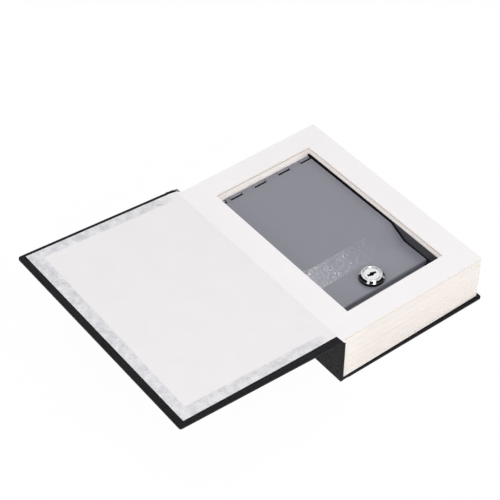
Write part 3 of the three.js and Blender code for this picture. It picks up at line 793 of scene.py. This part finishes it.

# White paper in front, painted greyer where it is pasted on the cover: painted shade. Over the turned-in
# edges the skin's grain presses through it as a greyer, rougher band. Its coordinates are the shut cover's,
# kept on the mesh, so they bend with it
band_start = cover_reach - 0.015
band_slant = 0.0217
end_band_start = 0.0999
end_band_middle = 0.00115
band_ripple = 0.0012
band_blur = 0.0008
imprint_depth = 0.0003
endpaper_white, tree, shader = new_material("white_endpaper", (0.90, 0.885, 0.90), 0.8)
sheet_coords = add_node(tree, "Attribute", attribute_name="cover_coordinates").outputs["Vector"]
cover_axes = axes_of(tree, sheet_coords)
fibre = effect(tree, paper_fibre, sheet_coords, Scale=1300.0)
imprint = effect(tree, leather_grain, sheet_coords, Pebbles=0.6)
ripple = noise(tree, sheet_coords, 90.0, 5.0, 0.7)
along = sum_of(tree, (cover_axes["X"], 1.0), (cover_axes["Y"], band_slant), (ripple, band_ripple))
off_middle = calc(tree, "ABSOLUTE", calc(tree, "SUBTRACT", cover_axes["Y"], end_band_middle))
across = sum_of(tree, (off_middle, 1.0), (ripple, band_ripple))
fore_band = remap(tree, along, band_start - band_blur, band_start + band_blur)
end_band = remap(tree, across, end_band_start - band_blur, end_band_start + band_blur)
on_board = remap(tree, cover_axes["X"], 0.006, 0.020)
band = calc(tree, "MAXIMUM", fore_band, calc(tree, "MULTIPLY", end_band, on_board))
cloudy = remap(tree, fibre["Cloud"], 0.3, 0.7)
page_white = tint(tree, cloudy, (0.885, 0.858, 0.866), (0.905, 0.878, 0.886))
cover_white_painted_shade = tint(tree, cloudy, (0.832, 0.806, 0.814), (0.852, 0.826, 0.834))
# Greyer on the cover than on the pages: painted shade
plain = tint(tree, remap(tree, cover_axes["X"], -0.0022, -0.0006), page_white, cover_white_painted_shade)
mottle = noise(tree, sheet_coords, 620.0, 5.0, 0.7)
blotch = noise(tree, sheet_coords, 130.0, 3.0, 0.6)
mottle_mask = remap(tree, sum_of(tree, (mottle, 0.55), (blotch, 0.55)), 0.42, 0.68)
mottled = tint(tree, mottle_mask, (0.585, 0.577, 0.608), (0.830, 0.816, 0.840))
pressed = calc(tree, "MULTIPLY", imprint["Height"], band)
sheet_height = sum_of(tree, (pressed, 1.0), (fibre["Height"], 0.12))
feed(tree, shader, {"Base Color": tint(tree, band, plain, mottled), "Specular IOR Level": 0.25,
                    "Normal": bump(tree, sheet_height, imprint_depth, 0.6)})


def share_of(value):
    """A number kept between nothing and all."""
    return min(max(value, 0.0), 1.0)


# X and Z of the sheet's visible face over the joint, and its places on the cover with their heights there
over_joint = [(-0.0660, 0.04829), (-0.0700, 0.04842), (-0.0730, 0.04857), (-0.0748, 0.04869),
              (-0.0760, 0.04880), (-0.0768, 0.04888), (-0.0776, 0.04900), (-0.0782, 0.04912),
              (-0.0788, 0.04926), (-0.0792, 0.04936), (-0.07940, 0.04944), (-0.07955, 0.04960),
              (-0.07968, 0.04973), (-0.07982, 0.04980), (-0.07995, 0.04983)]
on_cover = [(0.0005, -0.00040), (0.0008, -0.00042), (0.0014, -0.00046), (0.0024, -0.00045),
            (0.0036, -0.00065), (0.0048, -0.00080)]
on_cover += [(along, cover_face) for along in
             (0.0060, 0.0100, 0.0300, 0.0700, 0.1100, sunk_end - 2 * band_slope, sunk_end, paste_end)]
sheet_line = [(x, page_top) for x in (page_half_width, window_right, window_left, -0.0620)] + over_joint
sheet_line += [on_open_cover(along, height) for along, height in on_cover]
y_steps = [-page_half_length, -inner_end, -inner_end + 2 * band_slope, window_tail, -quarter_length, 0.0,
           quarter_length, window_head, inner_end - 2 * band_slope, inner_end, page_half_length]
endpaper = chain("front_endpaper", [(x, y_steps[0], z) for x, z in sheet_line])
pull(endpaper, *[(0, b - a, 0) for a, b in zip(y_steps, y_steps[1:])])
open_window(endpaper)
to_cover = cover_place.inverted()
for vertex in endpaper.data.vertices:
    if vertex.co.x > joint_start_x:
        continue
    own = to_cover @ vertex.co
    if vertex.co.y < -page_half_length + touch:
        along_paste = share_of(own.x / paste_end) ** 0.5
        pasted = paste_tail_at_hinge + (paste_tail_at_fore - paste_tail_at_hinge) * along_paste
        vertex.co.y = pasted if vertex.co.x < paste_tail_start_x else -joint_end
    elif vertex.co.y > page_half_length - touch:
        vertex.co.y = paste_head if vertex.co.x < paste_head_start_x else page_half_length
    elif sunk_start < own.x < sunk_end - band_slope and abs(vertex.co.y) < inner_end - band_slope:
        own.z += band_sink
        vertex.co = cover_place @ own
    if own.x > paste_fore_zone:
        own = to_cover @ vertex.co
        own.x -= paste_fore_skew * (own.y + page_half_length)
        vertex.co = cover_place @ own
face_out(endpaper)
thicken(endpaper, paper_thickness, -1)
shade(endpaper, 40)
cover_coordinates = endpaper.data.attributes.new("cover_coordinates", "FLOAT_VECTOR", "POINT")
for vertex, place in zip(endpaper.data.vertices, cover_coordinates.data):
    place.vector = to_cover @ vertex.co
    if vertex.co.y < tail_zone and vertex.co.x > joint_start_x:
        vertex.co.y += tail_skew * (page_half_width - vertex.co.x)
    skew_share = share_of((skew_start_x - vertex.co.x) / skew_run)
    vertex.co.y += skew_share * case_skew * (cover_reach - max(place.vector.x, 0.0))
dress(endpaper, endpaper_white, None, "endpaper", "front_flyleaf", "front_pastedown")
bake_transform(endpaper)


# Steel box: a deep tray of thin sheet with rounded corners, powder-coated grey. Four knuckles of the lid's
# hinge are rolled out of its head wall, and an angle is welded inside the tail wall for the cam to catch
# under.
sheet_steel = 0.0009
half_sheet = sheet_steel / 2
rim_steel = 0.0005
box_left = -0.0534
box_right = 0.0514
box_tail = -0.0872
box_head = 0.0877
box_bottom = 0.00365
box_rim = 0.04145
box_corner = 0.0024
box_foot_edge = 0.0006
inner_head = box_head - sheet_steel
coat_edge = 0.00018
lid_left = -0.0516
lid_right = 0.0496
lid_side_gap = 0.0007
knuckle_radius = 0.00205
curl_radius = knuckle_radius - half_sheet
pin_y = 0.08565
pin_z = 0.0377
knuckle_ends = (-0.0454, -0.0410, -0.0281, -0.0143, -0.0015, 0.0126, 0.0254, 0.0378, 0.0496)
knuckle_gap = 0.0004
hinge_slot = 0.0018
hinge_tail = inner_head - 2 * knuckle_radius - 0.0005
curl_angle = 285
curl_steps = 28

# Powder coat: coarse orange peel with a trace of a finer one, slightly uneven gloss and a sparse speck
peel_depth = 0.00021
orange_peel, peel_in, peel_out = new_effect("orange_peel", (), ("Height", "Speck"))
fine = noise(orange_peel, peel_in["Vector"], 1500.0, 2.0, 0.5)
coarse = noise(orange_peel, peel_in["Vector"], 540.0, 1.0, 0.5)
feed(orange_peel, peel_out, {"Height": sum_of(orange_peel, (fine, 0.04), (coarse, 1.0)),
                             "Speck": remap(orange_peel, fine, 0.6, 0.72)})


def powder_coat(name, plain, painted_deep_colour, painted_depth_mask):
    """Textured powder coat: one colour, and another where it lies deep, painted to stand in for light and
    shade.
    """
    material, tree, shader = new_material(name, plain, 0.2)
    peel = effect(tree, orange_peel, own_place(tree))
    drift = noise(tree, own_place(tree), 22.0, 3.0, 0.5)
    # Random drift and specks, and the painted colour where it lies deep
    mask = sum_of(tree, (drift, 0.12), (peel["Speck"], 0.06), (painted_depth_mask(tree), 0.9))
    feed(tree, shader, {"Base Color": tint(tree, mask, plain, painted_deep_colour),
                        "Roughness": remap(tree, drift, 0.3, 0.7, 0.11, 0.14),
                        "Normal": bump(tree, peel["Height"], peel_depth, 1.0)})
    return material


# Full below the main panel, on the sunk panel and the lip, where the grey coat is painted lighter: painted
# light
def painted_light_below_main_panel(tree):
    return remap(tree, axes_of(tree, own_place(tree))["Z"], 0.0310, 0.0385, 1.0, 0.0)


# Below the lid's edge the charcoal coat is painted black: painted shade in the gap and deep in the box
def painted_shade_below_lid_edge(tree):
    """Full where the box's wall is at or below the edge of the shut lid, which follows the lid's ramp."""
    axes = axes_of(tree, own_place(tree))
    ramp = remap(tree, axes["Y"], -0.0445, -0.0250, 0.0, 0.0090)
    return remap(tree, sum_of(tree, (axes["Z"], 1.0), (ramp, -1.0)), 0.0322, 0.0332, 1.0, 0.0)


powder_grey = powder_coat("grey_powder_coat", (0.229, 0.230, 0.270), (0.272, 0.273, 0.321), painted_light_below_main_panel)
powder_dark = powder_coat("charcoal_powder_coat", (0.062, 0.062, 0.070), (0.010, 0.010, 0.012),
                          painted_shade_below_lid_edge)


def knuckle_spans(first):
    """Start and end along X of every other knuckle."""
    return [(knuckle_ends[index] + knuckle_gap / 2, knuckle_ends[index + 1] - knuckle_gap / 2)
            for index in range(first, len(knuckle_ends) - 1, 2)]


def rolled(name, line, start, end):
    """A strip of sheet along a line in the YZ plane, as long along X as given."""
    strip = chain(name, [(start, y, z) for y, z in line])
    pull(strip, (end - start, 0, 0))
    thicken(strip, sheet_steel)
    return strip


def curl(first, start, end):
    """The rolled end of a sheet: from a first point round the pin."""
    return [first] + arc((pin_y, pin_z), curl_radius, start, end, curl_steps)


def paint_faces(piece, index, test, origin=Vector((0, 0, 0))):
    """Gives a further material to the faces whose middle, seen from an origin, and normal pass a test."""
    for face in piece.data.polygons:
        if test(face.center - origin, face.normal):
            face.material_index = index


box = block("steel_box", (box_left, box_tail, box_bottom), (box_right, box_head, box_rim))
round_uprights(box, box_corner, 8)
pick(box, "FACE", lambda face: min(vertex.co.z for vertex in face.verts) > box_rim - touch)
bpy.ops.mesh.inset(thickness=rim_steel)
extrude((0, 0, box_bottom + sheet_steel - box_rim))
object_mode()
round_level_edges(box, box_foot_edge, below=box_bottom + touch)
cut_away(box, block("head_wall_top", (lid_left - lid_side_gap / 2, inner_head - overrun, pin_z),
                    (lid_right + lid_side_gap / 2, box_head + overrun, box_rim + overrun)))
for start, end in knuckle_spans(0):
    cut_away(box, block("knuckle_room",
                        (start - knuckle_gap, inner_head - overrun, pin_z - knuckle_radius - hinge_slot),
                        (end + knuckle_gap, box_head + overrun, box_rim + overrun)))
box_curl = curl((pin_y + curl_radius, pin_z - knuckle_radius), 0, curl_angle)
for start, end in knuckle_spans(1):
    weld_on(box, rolled("box_knuckle", box_curl, start, end))
soften(box, coat_edge)
dress(box, powder_dark, "book", "coated_steel", "box_shell")
# The box's knuckles get the lid's grey only on their upward faces, charcoal below: painted light
box.data.materials.append(powder_grey)
paint_faces(box, 1, lambda middle, normal: middle.z > pin_z - knuckle_radius and middle.y > hinge_tail
            and lid_left < middle.x < lid_right and normal.z > 0.6)


def finished(name, node, edge):
    """A CAD node's own shape with its faces joined up and its edges broken, to stand for the node."""
    piece = bpy.data.objects.new(name, nodes[node].data.copy())
    bpy.context.scene.collection.objects.link(piece)
    face_out(piece)
    use_modifier(piece, "DECIMATE", decimate_type="DISSOLVE", angle_limit=math.radians(1))
    soften(piece, edge, 30)
    return piece


dress(finished("ledge_angle", "strike_ledge", coat_edge), powder_grey, "book", "coated_steel", "strike_ledge")


# Hinge pin: a plain drawn wire of zinc-plated steel, pushed through all eight knuckles, its ends slightly
# rounded. The small parts of the lock share its scratched finish.
pin_edge = 0.00015
scratches, scratch_in, scratch_out = new_effect("fine_scratches", (), ("Height", "Mark"))
stretched = add_node(scratches, "VectorMath", {0: scratch_in["Vector"], 1: (90.0, 1400.0, 1400.0)},
                     operation="MULTIPLY").outputs[0]
drawn = noise(scratches, stretched, 1.0, 4.0, 0.7)
blotch = noise(scratches, scratch_in["Vector"], 260.0, 3.0, 0.6)
feed(scratches, scratch_out, {"Height": drawn, "Mark": sum_of(scratches, (drawn, 0.5), (blotch, 0.5))})


def metal(name, dark, light, smooth, rough, depth, strength=0.5, place=(0, 0, 0)):
    """A bare metal with drawn scratches and a blotchy plating."""
    material, tree, shader = new_material(name, light, rough, 1.0)
    marks = effect(tree, scratches, own_place(tree, place))
    feed(tree, shader, {"Base Color": tint(tree, remap(tree, marks["Mark"], 0.35, 0.65), dark, light),
                        "Roughness": remap(tree, marks["Mark"], 0.35, 0.65, rough, smooth),
                        "Normal": bump(tree, marks["Height"], depth, strength)})
    return material


zinc = metal("zinc_plated_steel", (0.42, 0.43, 0.44), (0.62, 0.63, 0.64), 0.25, 0.42, 0.00004)
dress(finished("hinge_wire", "hinge_pin", pin_edge), zinc, "book", "bare_steel", "hinge_pin")


# Lid: one sheet of steel, bent down to a lip at the tail end, sunk into a panel for the lock, bent up a
# ramp to the main panel, and rolled into the four other knuckles. It lies just inside the box's walls.
lid_front = -0.071
lip_bottom = 0.02605
lid_top = 0.03975
low_panel_top = 0.03105
ramp_foot = -0.0425
ramp_head = -0.025
lip_bend = 0.0013
ramp_bend = 0.004
panel_end = pin_y - knuckle_radius - hinge_slot
lid_spread = 0.0008
spread_start_y = 0.03
spread_run = 0.1
lock_place = Vector((-0.001, -0.0585, low_panel_top))
lock_body_radius = 0.009
lock_half_flat = 0.00775
lock_fit = 0.00015
lock_hole_depth = 0.004
flat_reach = 0.012


def bent(corners, radii, steps=8):
    """Points in the YZ plane with every inner corner rounded to its radius."""
    points = [Vector(corners[0])]
    for before, corner, after, radius in zip(corners, corners[1:], corners[2:], radii):
        corner = Vector(corner)
        behind = (Vector(before) - corner).normalized()
        ahead = (Vector(after) - corner).normalized()
        half_angle = behind.angle(ahead) / 2
        centre = corner + (behind + ahead).normalized() * radius / math.sin(half_angle)
        first = corner + behind * radius / math.tan(half_angle) - centre
        last = corner + ahead * radius / math.tan(half_angle) - centre
        turn = math.atan2(first.x * last.y - first.y * last.x, first.dot(last))
        points += [centre + Matrix.Rotation(turn * step / steps, 2) @ first for step in range(steps + 1)]
    return points + [Vector(corners[-1])]


def lock_block(name, low, high):
    """A box between two corners that are given from the lock's foot on the panel."""
    return block(name, Vector(low) + lock_place, Vector(high) + lock_place)


def cut_flats(piece, half_flat, low, high):
    """Cuts a round part of the lock flat on two sides between two heights."""
    cut_away(piece, lock_block("flat", (-flat_reach, half_flat, low), (flat_reach, flat_reach, high)),
             lock_block("flat", (-flat_reach, -flat_reach, low), (flat_reach, -half_flat, high)))


lid_line = bent([(lid_front + half_sheet, lip_bottom), (lid_front + half_sheet, low_panel_top - half_sheet),
                 (ramp_foot, low_panel_top - half_sheet), (ramp_head, lid_top - half_sheet),
                 (panel_end, lid_top - half_sheet)], [lip_bend, ramp_bend, ramp_bend])
lid = rolled("box_lid", lid_line, lid_left, lid_right)
lid_curl = curl((panel_end - half_sheet, lid_top - half_sheet), 90, 90 - curl_angle)
for start, end in knuckle_spans(0):
    weld_on(lid, rolled("lid_knuckle", lid_curl, start, end))
start_clean()
bpy.ops.mesh.primitive_cylinder_add(vertices=64, radius=lock_body_radius + lock_fit, depth=lock_hole_depth,
                                    location=lock_place)
lock_hole = bpy.context.object
fix_place(lock_hole)
cut_flats(lock_hole, lock_half_flat + lock_fit, -lock_hole_depth, lock_hole_depth)
cut_away(lid, lock_hole)
for vertex in lid.data.vertices:
    if vertex.co.x > lid_right - 0.001:
        vertex.co.x += lid_spread * share_of((spread_start_y - vertex.co.y) / spread_run)
soften(lid, coat_edge)
dress(lid, powder_grey, "lid", "coated_steel", "lid")


# Cam lock: a turned housing with a bright conical head and a satin face, clamped in the sunk panel by a
# washer and a nut, and in it a plug with the key slot, four brass wafers and the cam on its square tail.
face_height = 0.0046
face_depth = 0.0002
face_radius = 0.0092
skirt_top = 0.0029
skirt_inner = 0.0108
body_end = -0.0119
body_edge = 0.0003
bore_radius = 0.0057
bore_shoulder = 0.0028
groove_reach = 0.00645
groove_half = 0.0032
groove_end = -0.0093
plug_flange_radius = 0.0068
plug_fit = 0.0002
plug_shoulder = 0.0030
plug_radius = 0.0055
plug_end = -0.01205
plug_edge = 0.00012
tail_half = 0.0035
tail_start = -0.0120
tail_end = -0.01355
tail_corner = 0.0004
stud_start = -0.0135
stud_end = -0.01745
stud_radius = 0.0022
stud_edge = 0.0003
half_slot = 0.00415
slot_side = 0.0012
slot_jog = 0.00085
slot_floor = body_end + 0.0016
slot_turn = Matrix.Rotation(math.radians(-21), 4, "Z")
wafer_top = -0.0009
wafer_pitch = 0.0024
wafer_room_half = Vector((0.007, 0.00305, 0.00045))
small_part_edge = 0.00012
wafer_edge = 0.00004

# Radius and height of the head: satin face, raised rim, cone, upright skirt, foot and body
head_profile = [(0, face_height), (0.00735, face_height), (0.00750, 0.00415), (0.00772, 0.00395),
                (0.00796, 0.00420), (0.00808, 0.00486), (0.00825, 0.00498), (0.00850, 0.00500),
                (0.00885, 0.00500), (0.00908, 0.00492), (0.00925, 0.00476), (0.00940, 0.00454),
                (0.01098, 0.00321), (0.01108, 0.00308), (0.01114, 0.00292), (0.01120, 0.00264),
                (0.01120, 0.00030), (0.01110, 0.00015), (0.01095, 0.00010), (lock_body_radius, 0.00010),
                (lock_body_radius, body_end + body_edge), (lock_body_radius - body_edge, body_end),
                (0, body_end)]
bore_profile = [(0, face_height + overrun), (plug_flange_radius + plug_fit, face_height + overrun),
                (plug_flange_radius + plug_fit, bore_shoulder), (bore_radius, bore_shoulder),
                (bore_radius, body_end - overrun), (0, body_end - overrun)]
plug_profile = [(0, face_height), (plug_flange_radius - plug_edge, face_height),
                (plug_flange_radius, face_height - plug_edge), (plug_flange_radius, plug_shoulder),
                (plug_radius, plug_shoulder), (plug_radius, plug_end), (0, plug_end)]
stud_profile = [(0, stud_start), (stud_radius, stud_start), (stud_radius, stud_end + stud_edge),
                (stud_radius - stud_edge, stud_end), (0, stud_end)]
slot_outline = [(-half_slot, -slot_jog - slot_side), (slot_jog, -slot_jog - slot_side),
                (slot_jog + slot_side, slot_jog - slot_side), (half_slot, slot_jog - slot_side),
                (half_slot, slot_jog + slot_side), (-slot_jog, slot_jog + slot_side),
                (-slot_jog - slot_side, slot_side - slot_jog), (-half_slot, slot_side - slot_jog)]

# Polished head: hard bright plating with the faintest ripple
chrome = metal("polished_plating", (0.74, 0.74, 0.77), (0.86, 0.86, 0.88), 0.04, 0.1, 0.00001, 0.4, lock_place)

# Satin face: fine turned rings about the lock's axis
ring_depth = 0.00003
satin, tree, shader = new_material("satin_plating", (0.76, 0.76, 0.77), 0.28, 1.0)
face_coords = own_place(tree, lock_place)
ring_values = {"Vector": face_coords, "Scale": 550.0, "Distortion": 0.6, "Detail": 3.0, "Detail Scale": 2.0}
rings = add_node(tree, "TexWave", ring_values, wave_type="RINGS", rings_direction="Z").outputs["Fac"]
marks = effect(tree, scratches, face_coords)
mask = remap(tree, sum_of(tree, (rings, 0.5), (marks["Mark"], 0.7)), 0.3, 0.9)
feed(tree, shader, {"Base Color": tint(tree, mask, (0.68, 0.68, 0.70), (0.80, 0.80, 0.81)),
                    "Roughness": remap(tree, rings, 0.0, 1.0, 0.24, 0.38),
                    "Normal": bump(tree, rings, ring_depth, 0.5)})

# Inside of the key slot, and the skirt under the cone: nearly black, painted shade
shade_mottle_depth = 0.0001
painted_shade_black, tree, shader = new_material("slot_and_skirt_painted_shade", (0.02, 0.02, 0.02), 0.6, 0.6)
shade_mottle = noise(tree, own_place(tree, lock_place), 900.0, 4.0, 0.6)
feed(tree, shader, {"Base Color": tint(tree, shade_mottle, (0.008, 0.008, 0.008), (0.035, 0.033, 0.030)),
                    "Normal": bump(tree, shade_mottle, shade_mottle_depth, 0.5)})


def turned(name, profile, steps=96):
    """A turned part about the lock's axis from points of radius and height above the panel."""
    part = chain(name, [lock_place + Vector((radius, 0, height)) for radius, height in profile])
    edit_all(part)
    bpy.ops.mesh.spin(steps=steps, angle=2 * math.pi, center=lock_place, axis=(0, 0, 1))
    object_mode()
    face_out(part)
    return part


def off_axis(middle):
    return math.hypot(middle.x, middle.y)


def plated(piece, body, node, is_face, is_painted_shade):
    """Plates a part of the lock, with satin faces and nearly black ones of painted shade where two tests say
    so.
    """
    shade(piece, 30)
    dress(piece, chrome, body, "lock_chrome", node)
    piece.data.materials.append(satin)
    piece.data.materials.append(painted_shade_black)
    paint_faces(piece, 1, is_face, lock_place)
    paint_faces(piece, 2, is_painted_shade, lock_place)


housing = turned("lock_head_and_body", head_profile)
cut_away(housing, turned("plug_bore", bore_profile))
cut_flats(housing, lock_half_flat, body_end - overrun, 0.0001)
cut_away(housing,
         lock_block("groove", (-groove_reach, -groove_half, groove_end), (groove_reach, groove_half, 0.0003)),
         lock_block("groove", (-groove_half, -groove_reach, groove_end), (groove_half, groove_reach, 0.0003)))
plated(housing, "lid", "lock_housing",
       lambda middle, normal: middle.z > face_height - face_depth and off_axis(middle) < face_radius
       and normal.z > 0.7,
       lambda middle, normal: middle.z < skirt_top and off_axis(middle) > skirt_inner)

plug = turned("lock_plug_turned", plug_profile)
tail = lock_block("square_tail", (-tail_half, -tail_half, tail_end), (tail_half, tail_half, tail_start))
round_uprights(tail, tail_corner, 2)
weld_on(plug, tail, turned("stud", stud_profile, 32))
key_slot = chain("key_slot", [lock_place + slot_turn @ Vector((x, y, slot_floor)) for x, y in slot_outline])
edit_all(key_slot)
bpy.ops.mesh.edge_face_add()
extrude((0, 0, face_height - body_end))
object_mode()
face_out(key_slot)
cut_away(plug, key_slot)
for index in range(4):
    middle = Vector((0, 0, wafer_top - wafer_pitch * index))
    cut_away(plug, lock_block("wafer_room", middle - wafer_room_half, middle + wafer_room_half))
plated(plug, "lock_plug", "lock_plug",
       lambda middle, normal: middle.z > face_height - face_depth and normal.z > 0.5,
       lambda middle, normal: off_axis(middle) < half_slot
       and slot_floor - 0.0001 < middle.z < face_height - face_depth)

for name, node, body in (("body_washer", "lock_washer", "lid"), ("body_nut", "lock_nut", "lid"),
                         ("cranked_cam", "cam", "lock_plug"), ("spring_washer", "cam_washer", "lock_plug"),
                         ("tail_nut", "cam_nut", "lock_plug")):
    dress(finished(name, node, small_part_edge), zinc, body, "bare_steel", node)

brass = metal("wafer_brass", (0.50, 0.36, 0.13), (0.72, 0.55, 0.24), 0.25, 0.4, 0.00003)
for index in range(1, 5):
    node = f"wafer_{index}"
    dress(finished(f"brass_{node}", node, wafer_edge), brass, node, "wafer_brass", node)
